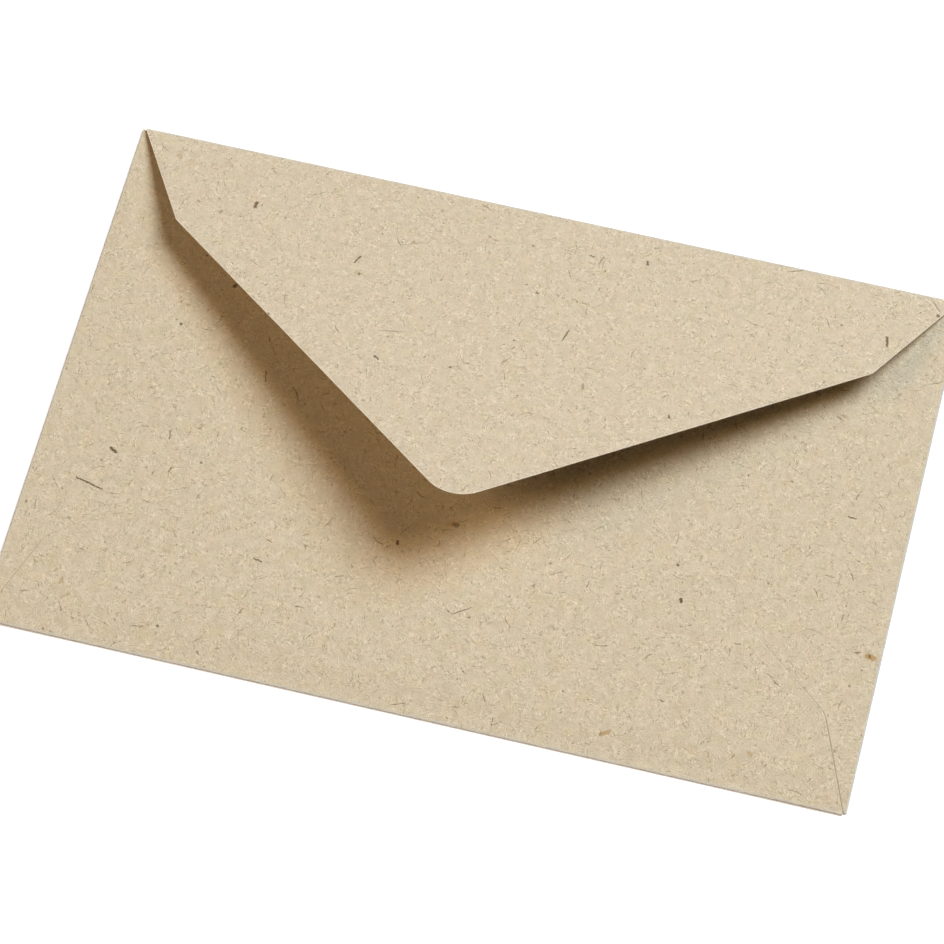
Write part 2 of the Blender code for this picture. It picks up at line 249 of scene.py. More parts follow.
def build_kraft_group(scatter, felt):
    """Colour and height of the recycled kraft sheet, from the plain colour of its pulp."""
    tree, given, result = new_group(
        "kraft_pulp",
        [("Sheet", "Vector", None), ("Pulp", "Color", (0.7, 0.59, 0.43, 1)), ("Contrast", "Float", 1.0)],
        [("Color", "Color", None), ("Height", "Float", None)],
    )
    sheet = given["Sheet"]
    cloud = flat_noise(tree, sheet, 420.0, 3.0, 0.65)["Fac"]
    drift = flat_noise(tree, sheet, 260.0, 2.0)["Color"]
    tint = add_node(tree, "SeparateColor", {"Color": drift}).outputs
    stir = flat_noise(tree, sheet, 900.0, 1.0)["Color"]
    curly = vector_figure(tree, "ADD", sheet, vector_times(tree, stir, 0.00035))
    coarse = place_group(tree, felt, {
        "Sheet": sheet, "Patch": 0.0022, "Streak": 0.0012, "Fine": 0.00026, "Shift": 3.7})["Streaks"]
    fine = place_group(tree, felt, {
        "Sheet": sheet, "Patch": 0.0014, "Streak": 0.0007, "Fine": 0.00015, "Shift": 21.3})["Streaks"]
    tufts = figure(tree, "MULTIPLY", figure(tree, "ADD", coarse, fine), 0.5)
    tuft_light = figure(tree, "MULTIPLY", tufts, 0.24)
    lumps = flat_noise(tree, sheet, 1200.0, 2.0, 0.65)["Fac"]
    light = figure(tree, "MULTIPLY_ADD", figure(tree, "SUBTRACT", lumps, 0.5), 0.30, tuft_light)
    fibres = (
        # spacing, length, width, bend, share, shift, lightness
        (0.00095, 0.36, 0.00023, 1.0, 0.60, 11.0, 0.130),
        (0.00150, 0.42, 0.00023, 1.6, 0.65, 47.0, 0.130),
        (0.00240, 0.44, 0.00022, 2.0, 0.60, 61.0, 0.110),
        (0.00090, 0.28, 0.00023, 0.8, 0.40, 83.0, -0.190),
        (0.00140, 0.34, 0.00023, 1.2, 0.42, 97.0, -0.190),
        (0.00260, 0.36, 0.00021, 1.8, 0.42, 129.0, -0.220),
        (0.00600, 0.34, 0.00022, 1.4, 0.45, 149.0, -0.300),
    )
    relief = figure(tree, "MULTIPLY_ADD", cloud, 0.35, figure(tree, "MULTIPLY", tufts, 0.9))
    for spacing, length, width, bend, share, shift, lightness in fibres:
        mask = place_group(tree, scatter, {
            "Sheet": curly, "Spacing": spacing, "Length": length, "Width": width,
            "Bend": bend, "Share": share, "Shift": shift})["Mask"]
        light = figure(tree, "MULTIPLY_ADD", mask, lightness, light)
        relief = figure(tree, "MULTIPLY_ADD", mask, 0.45 if lightness > 0 else -0.15, relief)
    busy = flat_noise(tree, sheet, 330.0, 1.0)["Fac"]
    light = figure(tree, "MULTIPLY", light, ramp(tree, busy, 0.40, 0.58, 0.50, 1.35))
    light = figure(tree, "MULTIPLY_ADD", figure(tree, "SUBTRACT", cloud, 0.5), 0.27, light)
    light = figure(tree, "MULTIPLY", light, given["Contrast"])
    shade = add_node(tree, "CombineColor", {
        0: figure(tree, "MULTIPLY_ADD", light, 1.0, 1.0),
        1: figure(tree, "MULTIPLY_ADD", light, 1.08, 1.0),
        2: figure(tree, "MULTIPLY_ADD", light, 1.28, 1.0),
    }).outputs[0]
    colour = stain(tree, 1.0, given["Pulp"], shade, "MULTIPLY")
    rosy = ramp(tree, tint[0], 0.50, 0.72, 0.0, 0.6)
    green = ramp(tree, tint[1], 0.50, 0.72, 0.0, 0.6)
    colour = stain(tree, rosy, colour, (1.025, 0.975, 0.95, 1), "MULTIPLY")
    colour = stain(tree, green, colour, (0.99, 1.0, 0.92, 1), "MULTIPLY")
    spots = (
        # spacing, length, width, share, shift, strength, colour
        (0.0021, 0.02, 0.00032, 0.50, 171.0, 0.24, (0.32, 0.25, 0.16, 1)),
        (0.0044, 0.03, 0.00034, 0.55, 207.0, 0.42, (0.26, 0.19, 0.11, 1)),
        (0.0120, 0.03, 0.00044, 0.50, 233.0, 0.62, (0.18, 0.12, 0.07, 1)),
        (0.0230, 0.04, 0.00060, 0.15, 263.0, 0.50, (0.20, 0.13, 0.07, 1)),
        (0.0085, 0.15, 0.00019, 0.50, 311.0, 0.52, (0.26, 0.18, 0.10, 1)),
        (0.0500, 0.06, 0.00030, 0.30, 367.0, 0.80, (0.14, 0.09, 0.05, 1)),
        (0.0400, 0.01, 0.00120, 0.50, 401.0, 0.25, (0.42, 0.28, 0.14, 1)),
        (0.0065, 0.05, 0.00045, 0.45, 433.0, 0.30, (0.44, 0.45, 0.47, 1)),
    )
    for spacing, length, width, share, shift, strength, spot in spots:
        mask = place_group(tree, scatter, {
            "Sheet": curly, "Spacing": spacing, "Length": length, "Width": width,
            "Bend": 0.6, "Share": share, "Shift": shift})["Mask"]
        colour = stain(tree, figure(tree, "MULTIPLY", mask, strength), colour, spot)
    tree.links.new(colour, result["Color"])
    tree.links.new(relief, result["Height"])
    return tree


def build_crease_shade_group():
    """Mask of the four creases, where the folded paper is scuffed and where shade is painted on the folds.
    """
    tree, given, result = new_group(
        "pressed_creases_and_shade", [("Sheet", "Vector", None)], [("Mask", "Float", None)])
    place = add_node(tree, "SeparateXYZ", {"Vector": given["Sheet"]}).outputs
    side_arc = math.pi * (SIDE_CREASE_RADIUS - PAPER / 2)
    bottom_arc = math.pi * (BOTTOM_CREASE_RADIUS - PAPER / 2)
    top_arc = math.pi * (TOP_CREASE_RADIUS - PAPER / 2)
    strongest = 0.0
    for value, middle, arc, rub_and_shade in (
        (figure(tree, "ABSOLUTE", place[0]), WALL_END_X + side_arc / 2, side_arc, 1.0),
        (place[1], WALL_LOW_Y - bottom_arc / 2, bottom_arc, 1.0),
        (place[1], HINGE_Y + top_arc / 2, top_arc, 0.6),
    ):
        away = figure(tree, "ABSOLUTE", figure(tree, "SUBTRACT", value, middle))
        fold = ramp(tree, away, arc / 2 + 0.00002, arc / 2 + 0.00018, rub_and_shade, 0.0)
        strongest = figure(tree, "MAXIMUM", fold, strongest)
    broken = flat_noise(tree, given["Sheet"], 900.0, 2.0)["Fac"]
    patchy = ramp(tree, broken, 0.35, 0.62, 0.55, 1.0)
    tree.links.new(figure(tree, "MULTIPLY", strongest, patchy), result["Mask"])
    return tree


def build_fleck_group():
    """One fleck of bark or husk at a chosen place of the sheet, Turn radians from its X axis."""
    tree, given, result = new_group(
        "placed_fleck",
        [("Sheet", "Vector", None), ("Place", "Vector", (0, 0, 0)), ("Turn", "Float", 0.0),
         ("Length", "Float", 0.001), ("Width", "Float", 0.0003)],
        [("Mask", "Float", None)],
    )
    away = vector_figure(tree, "SUBTRACT", given["Sheet"], given["Place"])
    turned = turn_flat(tree, away, figure(tree, "MULTIPLY", given["Turn"], -1.0))
    local = add_node(tree, "SeparateXYZ", {"Vector": turned}).outputs
    half = figure(tree, "MULTIPLY", given["Length"], 0.5)
    past_end = figure(tree, "SUBTRACT", figure(tree, "ABSOLUTE", local[0]), half)
    beyond = figure(tree, "MAXIMUM", past_end, 0)
    square = figure(tree, "MULTIPLY_ADD", local[1], local[1], figure(tree, "MULTIPLY", beyond, beyond))
    low = figure(tree, "MULTIPLY", given["Width"], 0.30)
    high = figure(tree, "MULTIPLY", given["Width"], 0.70)
    tree.links.new(ramp(tree, figure(tree, "SQRT", square), low, high, 1.0, 0.0), result["Mask"])
    return tree


scatter_group = build_scatter_group()
felt_group = build_felt_group()
kraft_group = build_kraft_group(scatter_group, felt_group)
crease_shade_group = build_crease_shade_group()
fleck_group = build_fleck_group()


def kraft_material(name, pulp, shift=0.0, flecks=(), seam_shade=None):
    """Matt kraft paper. The pattern lies on the UV map, which is the unfolded sheet in metres.
    Each fleck is (x, y, turn, length, width, strength, colour), in millimetres and degrees.
    Seam shade paints the shade that lies beside a seam."""
    material, tree, shader = start_material(name)
    sheet = add_node(tree, "UVMap", uv_map="sheet").outputs[0]
    placed = add_node(tree, "Mapping", {"Vector": sheet, "Location": (shift, shift, 0)}).outputs[0]
    pulp_out = place_group(tree, kraft_group, {"Sheet": placed, "Pulp": pulp, "Contrast": 1.06})
    colour = pulp_out["Color"]
    fray = flat_noise(tree, sheet, 1600.0, 1.0)["Color"]
    pull = vector_figure(tree, "MULTIPLY_ADD", fray, (FRAY, FRAY, 0), (-FRAY / 2, -FRAY / 2, 0))
    frayed = vector_figure(tree, "ADD", sheet, pull)
    for x, y, turn, length, width, strength, tone in flecks:
        fleck = place_group(tree, fleck_group, {
            "Sheet": frayed, "Place": (x / 1000, y / 1000, 0), "Turn": math.radians(turn),
            "Length": length / 1000, "Width": width / 1000})["Mask"]
        colour = stain(tree, figure(tree, "MULTIPLY", fleck, strength), colour, tone)
    # Painted shade with real scuffing: the creases are painted greyer, which takes the warm fill lamp's
    # tint off the folds and dims the top crease.
    creased = place_group(tree, crease_shade_group, {"Sheet": sheet})["Mask"]
    colour = stain(tree, figure(tree, "MULTIPLY", creased, 0.95), colour, KRAFT_RUBBED_AND_SHADED)
    if seam_shade:
        colour = seam_shade(tree, colour)
    # The cut rim is painted paler: partly the raw fibre of the cut, partly a painted highlight along the
    # edge.
    rim = add_node(tree, "Attribute", attribute_name="rim").outputs["Fac"]
    pale_rim_and_highlight = figure(tree, "MULTIPLY", ramp(tree, rim, 0.15, 1.0), 0.85)
    colour = stain(tree, pale_rim_and_highlight, colour, KRAFT_CUT)
    bump = add_node(tree, "Bump", {"Height": pulp_out["Height"], "Strength": 1.0, "Distance": 0.00008})
    tree.links.new(colour, shader.inputs["Base Color"])
    tree.links.new(bump.outputs[0], shader.inputs["Normal"])
    shader.inputs["Roughness"].default_value = 0.88
    shader.inputs["Specular IOR Level"].default_value = 0.25
    return material


def cut_edge_material():
    """The cut edge of the sheet: paler, broken pulp in thin layers."""
    material, tree, shader = start_material("kraft_cut_edge")
    place = add_node(tree, "TexCoord").outputs["Object"]
    layered = add_node(tree, "Mapping", {"Vector": place, "Scale": (1500, 1500, 12000)}).outputs[0]
    torn = add_node(tree, "TexNoise", {"Vector": layered, "Scale": 1.0, "Detail": 2.0}).outputs["Fac"]
    colour = stain(tree, ramp(tree, torn, 0.3, 0.7), (0.66, 0.54, 0.38, 1), KRAFT_CUT)
    bump = add_node(tree, "Bump", {"Height": torn, "Strength": 0.4, "Distance": 0.00003})
    tree.links.new(colour, shader.inputs["Base Color"])
    tree.links.new(bump.outputs[0], shader.inputs["Normal"])
    shader.inputs["Roughness"].default_value = 0.95
    shader.inputs["Specular IOR Level"].default_value = 0.15
    return material


kraft_outside = kraft_material("kraft_outside", KRAFT_OUTSIDE)
kraft_inside = kraft_material("kraft_inside", KRAFT_INSIDE, shift=0.5)
kraft_cut = cut_edge_material()


def start_sheet(name, low, high, level):
    """A flat rectangle of paper between two corners, left in edit mode."""
    bpy.ops.object.select_all(action="DESELECT")
    bpy.ops.mesh.primitive_plane_add(size=1, location=(0, 0, 0))
    piece = bpy.context.object
    piece.name = name
    piece.data.name = name
    bpy.ops.object.mode_set(mode="EDIT")
    bpy.ops.mesh.select_all(action="SELECT")
    bpy.ops.transform.resize(value=(high[0] - low[0], high[1] - low[1], 1))
    bpy.ops.transform.translate(value=((low[0] + high[0]) / 2, (low[1] + high[1]) / 2, level))
    return piece


def slice_sheet(point, across, drop=True):
    """Cut along a straight line through a point. With drop, what lies beyond falls away."""
    bpy.ops.mesh.select_all(action="SELECT")
    bpy.ops.mesh.bisect(plane_co=point, plane_no=across, clear_outer=drop, use_fill=False)


def trim_sheet(corners, level):
    """Cut to a convex outline, given anticlockwise as (x, y, radius of the corner)."""
    for index, (x, y, radius) in enumerate(corners):
        corner = Vector((x, y, level))
        before = Vector((*corners[index - 1][:2], level))
        after = Vector((*corners[(index + 1) % len(corners)][:2], level))
        arriving = (corner - before).normalized()
        leaving = (after - corner).normalized()
        out_before = Vector((arriving.y, -arriving.x, 0))
        out_after = Vector((leaving.y, -leaving.x, 0))
        slice_sheet(corner, out_after)
        if radius == 0:
            continue
        centre = corner - (out_before + out_after) * radius / (1 + out_before.dot(out_after))
        facets = 10
        for step in range(1, facets):
            outward = out_before.lerp(out_after, step / facets).normalized()
            slice_sheet(centre + outward * radius, outward)


def grid_sheet(low, high):
    """Inset a narrow rim, then score the sheet into squares for its gentle waves."""
    bpy.ops.mesh.select_all(action="SELECT")
    bpy.ops.mesh.inset(thickness=CUT_RIM, depth=0)
    for axis, across in ((0, (1, 0, 0)), (1, (0, 1, 0))):
        count = int((high[axis] - low[axis]) / GRID_STEP)
        for step in range(1, count):
            point = [0, 0, 0]
            point[axis] = low[axis] + (high[axis] - low[axis]) * step / count
            slice_sheet(point, across, drop=False)


def select_points(piece, test):
    """In edit mode, select the points that pass a test, and the edges between them."""
    bpy.ops.mesh.select_mode(type="VERT")
    shape = bmesh.from_edit_mesh(piece.data)
    for vertex in shape.verts:
        vertex.select = test(vertex.co)
    shape.select_flush_mode()
    bmesh.update_edit_mesh(piece.data)


def wave(x, y):
    """Height of the gentle waves of the stack, fading out towards the creases."""
    swell = (
        0.5 * math.sin(math.tau * (x / 0.088 + y / 0.140) + 0.7)
        + 0.3 * math.sin(math.tau * (x / 0.053 - y / 0.074) + 2.1)
        + 0.2 * math.sin(math.tau * (x / 0.036 + y / 0.049) + 4.0)
    )
    inside = min(HALF_WIDTH - abs(x), HALF_HEIGHT - abs(y), WAVE_FADE) / WAVE_FADE
    return WAVE_HEIGHT * swell * max(inside, 0) ** 2


def finish_sheet(piece, paper, unfold, cut_rim, lower=None, waves=True, outside=1):
    """Lay the UV map out on the unfolded sheet, mark the cut rim, add the waves, and give the
    sheet its thickness. Unfold turns a point into its place on the flat sheet, cut_rim says how
    pale the rim is painted there, as raw cut fibre and painted highlight, lower gives a point's
    new height where the sheet is pressed, and outside is 1 where the panel's outer face looks up
    and -1 where it looks down."""
    shape = bmesh.from_edit_mesh(piece.data)
    bmesh.ops.recalc_face_normals(shape, faces=shape.faces)
    widest = max(shape.faces, key=lambda face: face.calc_area())
    if widest.normal.z * outside < 0:
        bmesh.ops.reverse_faces(shape, faces=shape.faces)
    sheet_map = shape.loops.layers.uv.new("sheet")
    rim = shape.verts.layers.float.new("rim")
    for vertex in shape.verts:
        vertex[rim] = cut_rim(vertex.co) if vertex.is_boundary else 0.0
    for face in shape.faces:
        for loop in face.loops:
            loop[sheet_map].uv = unfold(loop.vert.co)
    if waves:
        for vertex in shape.verts:
            vertex.co.z += wave(vertex.co.x, vertex.co.y)
    if lower:
        for vertex in shape.verts:
            vertex.co.z = lower(vertex.co)
    bmesh.update_edit_mesh(piece.data)
    bpy.ops.object.mode_set(mode="OBJECT")
    for extra in [layer for layer in piece.data.uv_layers if layer.name != "sheet"]:
        piece.data.uv_layers.remove(extra)
    for material in (paper, kraft_inside, kraft_cut):
        piece.data.materials.append(material)
    thickness = piece.modifiers.new("thickness", "SOLIDIFY")
    thickness.thickness = PAPER
    thickness.offset = 0
    thickness.use_even_offset = True
    thickness.material_offset = 1
    thickness.material_offset_rim = 2
    bpy.ops.object.modifier_apply(modifier=thickness.name)
    bpy.ops.object.shade_smooth_by_angle(angle=SMOOTH_ANGLE)


wall_low = (-WALL_END_X, WALL_LOW_Y)
wall_high = (WALL_END_X, HINGE_Y)
address_wall = start_sheet("address_wall", wall_low, wall_high, PAPER / 2)
grid_sheet(wall_low, wall_high)
finish_sheet(address_wall, kraft_outside, lambda point: (point.x, point.y), lambda point: 0.0,
             waves=False, outside=-1)
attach(address_wall, "pocket")
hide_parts("front_panel")

# Side panels: the two end tabs of the sheet, folded in over the address wall and creased hard.
# Their upper edges slope down to blunt noses and make the throat of the pocket.
SIDE_LOW = 0.00045
SIDE_LEVEL = SIDE_LOW + PAPER / 2
SIDE_FOOT_Y = -0.05945
SIDE_TOP_Y = 0.05970
THROAT_DROP = 0.03185
SIDE_NOSE_X = 0.007
SIDE_NOSE_RADIUS = 0.007
SIDE_SHOE_X = 0.0826
SIDE_NOSE_LOW_Y = 0.0014
CREASE_STEPS = 14
PRESS_START_Y = -0.0515
PRESS_END_Y = -0.0590
PRESS_INNER_X = 0.078
PRESS_EASE = 0.012
FOOT_SCORES = 8
FOOT_SCORE_STEP = 0.001
SIDE_PRESS = 0.00029
BOTTOM_KINK_RADIUS = 0.006
BOTTOM_POINT_Y = 0.025
BOTTOM_LEFT_X = 0.08755
BOTTOM_RIGHT_X = 0.08720
LEFT_KINK = (0.08035, -0.0390)
RIGHT_KINK = (0.0793, -0.0393)
# The dark line beside each seam on a side panel is painted shade, for the shade under the edge of the
# bottom panel.
SEAM_SHADE_WIDTH = 0.00030
SEAM_SHADE_FADES_FROM_Y = -0.044
SEAM_SHADE_FADED_Y = -0.020
SEAM_SHADE_REMNANT = 0.15
SEAM_SHADE_COLOUR = (0.34, 0.25, 0.15, 1)
RIGHT_FLECKS = (
    (100.3, 5.0, 5, 1.6, 0.32, 0.75, BARK),
    (90.4, -25.0, 13, 1.0, 1.30, 0.80, HUSK),
    (90.6, -24.9, 60, 0.3, 0.45, 0.70, BARK),
    (107.4, 27.0, 30, 1.1, 0.45, 0.42, BARK),
    (106.5, 27.6, 170, 1.0, 0.95, 0.25, HUSK),
    (115.3, 20.2, 46, 0.2, 0.57, 0.55, HUSK),
    (93.2, -32.2, 78, 0.1, 0.47, 0.60, BARK),
)
LEFT_FLECKS = (
    (-100.9, -25.1, 14, 6.0, 0.32, 0.85, BARK),
    (-103.5, -16.5, 30, 1.5, 0.60, 0.90, BARK),
    (-113.6, -10.2, 81, 1.9, 0.32, 0.60, BARK),
    (-108.7, 15.5, 45, 0.2, 0.57, 0.75, BARK),
    (-132.8, -16.7, 44, 2.9, 0.36, 0.60, HUSK),
    (-89.7, -32.2, 73, 0.1, 0.56, 0.70, BARK),
    (-112.7, -28.7, 42, 1.9, 0.28, 0.50, BARK),
    (-128.9, 7.8, 77, 2.4, 0.29, 0.70, BARK),
    (-121.5, -15.0, 15, 0.1, 0.52, 0.75, BARK),
    (-117.1, 27.2, 122, 0.5, 0.60, 0.80, BARK),
)


def seam_shade_line(side, kink, foot_x, strength):
    """Painted shade: a dark line painted on a side panel along the edge of the bottom panel over it,
    where shade lies in the narrow space under that edge. The edge is two straight lines with a
    rounded kink, and the painted shade fades towards the middle."""
    kink = Vector((kink[0], kink[1], 0))
    low_run = (kink - Vector((foot_x, WALL_LOW_Y, 0))).normalized()
    high_run = (Vector((0, BOTTOM_POINT_Y, 0)) - kink).normalized()
    low_out = Vector((low_run.y, -low_run.x, 0))
    high_out = Vector((high_run.y, -high_run.x, 0))
    centre = kink - (low_out + high_out) * BOTTOM_KINK_RADIUS / (1 + low_out.dot(high_out))

    def draw(tree, colour):
        place = add_node(tree, "TexCoord").outputs["Object"]
        mirrored = vector_figure(tree, "MULTIPLY", place, (side, 1, 0))
        away = vector_figure(tree, "SUBTRACT", mirrored, centre)
        reach = []
        turn = []
        for out in (low_out, high_out):
            along = (-out.y, out.x, 0)
            reach.append(vector_figure(tree, "DOT_PRODUCT", away, out, output="Value"))
            turn.append(vector_figure(tree, "DOT_PRODUCT", away, along, output="Value"))
        straight = figure(tree, "MAXIMUM", reach[0], reach[1])
        rounded = figure(tree, "MULTIPLY", figure(tree, "GREATER_THAN", turn[0], 0.0),
                         figure(tree, "LESS_THAN", turn[1], 0.0))
        far = vector_figure(tree, "LENGTH", away, output="Value")
        distance = figure(tree, "MULTIPLY_ADD", rounded, figure(tree, "SUBTRACT", far, straight), straight)
        beyond = figure(tree, "SUBTRACT", distance, BOTTOM_KINK_RADIUS)
        line = ramp(tree, beyond, SEAM_SHADE_WIDTH * 0.5, SEAM_SHADE_WIDTH * 1.3, 1.0, 0.0)
        height = add_node(tree, "SeparateXYZ", {"Vector": place}).outputs[1]
        closing = ramp(tree, height, SEAM_SHADE_FADES_FROM_Y, SEAM_SHADE_FADED_Y, strength, strength * SEAM_SHADE_REMNANT)
        return stain(tree, figure(tree, "MULTIPLY", line, closing), colour, SEAM_SHADE_COLOUR)

    return draw


def press_foot(level, depth, extra=0.0):
    """How the stack of panels is squeezed together towards the bottom crease. Between the feet
    of the side panels the bottom panel goes down by some extra."""
    def lower(point):
        share = min(max((PRESS_START_Y - point.y) / (PRESS_START_Y - PRESS_END_Y), 0), 1)
        share = share * share * (3 - 2 * share)
        inside = min(max((PRESS_INNER_X - abs(point.x)) / PRESS_EASE, 0), 1)
        fall = depth + extra * inside * inside * (3 - 2 * inside)
        return point.z - fall * share * max(point.z - PAPER / 2, 0) / (level - PAPER / 2)
    return lower


def slice_foot():
    """Score the last stretch before the bottom crease, so that it can be pressed."""
    for step in range(FOOT_SCORES):
        slice_sheet((0, PRESS_START_Y - step * FOOT_SCORE_STEP, 0), (0, 1, 0), drop=False)


def side_panel(name, side, paper):
    """One side panel: side is 1 on the right and -1 on the left."""
    low = (SIDE_NOSE_X, SIDE_FOOT_Y)
    high = (WALL_END_X, SIDE_TOP_Y)
    piece = start_sheet(name, low, high, SIDE_LEVEL)
    trim_sheet(
        [
            (SIDE_SHOE_X, SIDE_FOOT_Y, 0),
            (WALL_END_X, SIDE_FOOT_Y, 0),
            (WALL_END_X, SIDE_TOP_Y, 0),
            (SIDE_NOSE_X, SIDE_TOP_Y - THROAT_DROP, SIDE_NOSE_RADIUS),
            (SIDE_NOSE_X, SIDE_NOSE_LOW_Y, SIDE_NOSE_RADIUS),
        ],
        SIDE_LEVEL,
    )
    grid_sheet(low, high)
    slice_foot()
    select_points(piece, lambda point: point.x > WALL_END_X - 1e-6)
    bpy.ops.mesh.spin(steps=CREASE_STEPS, angle=math.pi, center=(WALL_END_X, 0, SIDE_CREASE_RADIUS),
                      axis=(0, -1, 0))
    bpy.ops.mesh.select_all(action="SELECT")
    bpy.ops.mesh.remove_doubles(threshold=1e-6)
    if side < 0:
        bpy.ops.transform.resize(value=(-1, 1, 1), center_override=(0, 0, 0))
    middle_radius = SIDE_CREASE_RADIUS - PAPER / 2

    def unfold(point):
        reach = abs(point.x)
        if reach > WALL_END_X + 1e-7:
            turn = math.atan2(reach - WALL_END_X, SIDE_CREASE_RADIUS - point.z)
            return side * (WALL_END_X + turn * middle_radius), point.y
        if point.z < SIDE_CREASE_RADIUS:
            return side * WALL_END_X, point.y
        return side * (WALL_END_X + math.pi * middle_radius + WALL_END_X - reach), point.y

    finish_sheet(piece, paper, unfold, lambda point: 0.4 if point.z > SIDE_CREASE_RADIUS else 0.0,
                 lower=press_foot(SIDE_LEVEL, SIDE_PRESS))
    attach(piece, "pocket")
    return piece


# Painted shade beside the two seams, stronger on the right one.
left_seam_shade = seam_shade_line(-1, LEFT_KINK, BOTTOM_LEFT_X, 0.50)
right_seam_shade = seam_shade_line(1, RIGHT_KINK, BOTTOM_RIGHT_X, 0.75)
kraft_left = kraft_material("kraft_left_side", KRAFT_OUTSIDE, flecks=LEFT_FLECKS, seam_shade=left_seam_shade)
kraft_right = kraft_material("kraft_right_side", KRAFT_OUTSIDE, flecks=RIGHT_FLECKS, seam_shade=right_seam_shade)
left_side_panel = side_panel("left_side_panel", -1, kraft_left)
right_side_panel = side_panel("right_side_panel", 1, kraft_right)
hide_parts("left_side_flap", "left_fold")
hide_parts("right_side_flap", "right_fold")

# Bottom panel: the pointed tab that folds up last and is glued down over both side panels. Its
# straight cut edges are the two seams on the back, and they turn steeper at a rounded kink.
BOTTOM_LOW = 0.00067
BOTTOM_LEVEL = BOTTOM_LOW + PAPER / 2
BOTTOM_POINT_RADIUS = 0.009
BOTTOM_PRESS = 0.00035
BOTTOM_EXTRA_PRESS = 0.00013
BOTTOM_FLECKS = (
    (46.5, -98.3, 65, 0.6, 0.60, 0.90, BARK),
    (44.2, -106.0, 35, 0.1, 0.56, 0.80, BARK),
    (38.4, -66.1, 147, 2.0, 0.78, 0.65, HUSK),
    (67.0, -68.6, 23, 0.4, 1.00, 0.50, HUSK),
    (59.5, -91.6, 5, 1.1, 0.30, 0.60, BARK),
    (67.5, -99.9, 7, 0.1, 0.48, 0.65, BARK),
    (-53.1, -67.2, 41, 0.1, 0.51, 0.80, BARK),
    (-74.5, -72.4, 93, 1.2, 0.52, 0.55, HUSK),
    (-72.8, -69.3, 136, 1.8, 0.64, 0.40, HUSK),
    (-37.7, -86.4, 12, 1.6, 0.34, 0.75, BARK),
    (-1.9, -104.0, 154, 1.5, 1.10, 0.35, HUSK),
    (-1.2, -103.9, 5, 0.6, 0.95, 0.58, BARK),
    (-11.5, -97.1, 75, 0.5, 0.62, 0.90, BARK),
)

bottom_low = (-HALF_WIDTH, WALL_LOW_Y)
bottom_high = (HALF_WIDTH, BOTTOM_POINT_Y)
bottom_panel = start_sheet("bottom_panel", bottom_low, bottom_high, BOTTOM_LEVEL)
trim_sheet(
    [
        (-BOTTOM_LEFT_X, WALL_LOW_Y, 0),
        (BOTTOM_RIGHT_X, WALL_LOW_Y, 0),
        (*RIGHT_KINK, BOTTOM_KINK_RADIUS),
        (0.0, BOTTOM_POINT_Y, BOTTOM_POINT_RADIUS),
        (-LEFT_KINK[0], LEFT_KINK[1], BOTTOM_KINK_RADIUS),
    ],
    BOTTOM_LEVEL,
)
grid_sheet(bottom_low, bottom_high)
slice_foot()
select_points(bottom_panel, lambda point: point.y < WALL_LOW_Y + 1e-6)
bpy.ops.mesh.spin(steps=CREASE_STEPS, angle=math.pi, center=(0, WALL_LOW_Y, BOTTOM_CREASE_RADIUS),
                  axis=(-1, 0, 0))
bpy.ops.mesh.select_all(action="SELECT")
bpy.ops.mesh.remove_doubles(threshold=1e-6)


def unfold_bottom(point):
    middle_radius = BOTTOM_CREASE_RADIUS - PAPER / 2
    if point.y < WALL_LOW_Y - 1e-7:
        turn = math.atan2(WALL_LOW_Y - point.y, BOTTOM_CREASE_RADIUS - point.z)
        return point.x, WALL_LOW_Y - turn * middle_radius
    if point.z < BOTTOM_CREASE_RADIUS:
        return point.x, WALL_LOW_Y
    return point.x, WALL_LOW_Y - math.pi * middle_radius - (point.y - WALL_LOW_Y)


def bottom_rim(point):
    """The right seam's cut edge is painted pale, partly raw fibre and partly painted highlight where the
    key lamps light it; the left one lies in its own shade and is painted less pale.
    """
    if point.z < BOTTOM_CREASE_RADIUS:
        return 0.0
    return 0.9 if point.x > 0 else 0.3


kraft_bottom = kraft_material("kraft_bottom", KRAFT_OUTSIDE, flecks=BOTTOM_FLECKS)
finish_sheet(bottom_panel, kraft_bottom, unfold_bottom, bottom_rim,
             lower=press_foot(BOTTOM_LEVEL, BOTTOM_PRESS, BOTTOM_EXTRA_PRESS))
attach(bottom_panel, "pocket")
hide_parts("bottom_flap", "bottom_fold")

# Seam glue: two brushed lines of starch glue between the side panels and the bottom panel.
# They keep their solids from the frame and only get the look of dried paste.
GLUE_COLOUR = (0.80, 0.74, 0.60, 1)
GLUE_RISE = 0.0635
GLUE_RUN = 0.0788


def dried_paste_material(name, colour, roughness, along):
    """Dried paste with brush marks along it and small pits."""
    material, tree, shader = start_material(name)
    place = add_node(tree, "TexCoord").outputs["Object"]
    turned = add_node(tree, "Mapping", {"Vector": place, "Rotation": (0, 0, -along)}).outputs[0]
    drawn = add_node(tree, "Mapping", {"Vector": turned, "Scale": (120, 2600, 120)}).outputs[0]
    brush = add_node(tree, "TexNoise", {"Vector": drawn, "Scale": 1.0, "Detail": 3.0}).outputs["Fac"]
    pits = add_node(tree, "TexNoise", {"Vector": place, "Scale": 1400.0, "Detail": 2.0}).outputs["Fac"]
    height = figure(tree, "MULTIPLY_ADD", pits, 0.5, brush)
    thin = tuple(channel * 0.86 for channel in colour[:3]) + (1,)
    tree.links.new(stain(tree, ramp(tree, brush, 0.35, 0.65), thin, colour), shader.inputs["Base Color"])
    tree.links.new(ramp(tree, pits, 0.3, 0.8, roughness * 0.8, roughness * 1.3), shader.inputs["Roughness"])
    bump = add_node(tree, "Bump", {"Height": height, "Strength": 0.5, "Distance": 0.00003})
    tree.links.new(bump.outputs[0], shader.inputs["Normal"])
    return material


seam_angle = math.atan2(GLUE_RISE, GLUE_RUN)
for node, along in (("left_seam_glue", seam_angle), ("right_seam_glue", -seam_angle)):
    glue_line = bpy.data.objects[node]
    glue_line.data.materials.clear()
    glue_line.data.materials.append(dried_paste_material(node + "_paste", GLUE_COLOUR, 0.5, along))

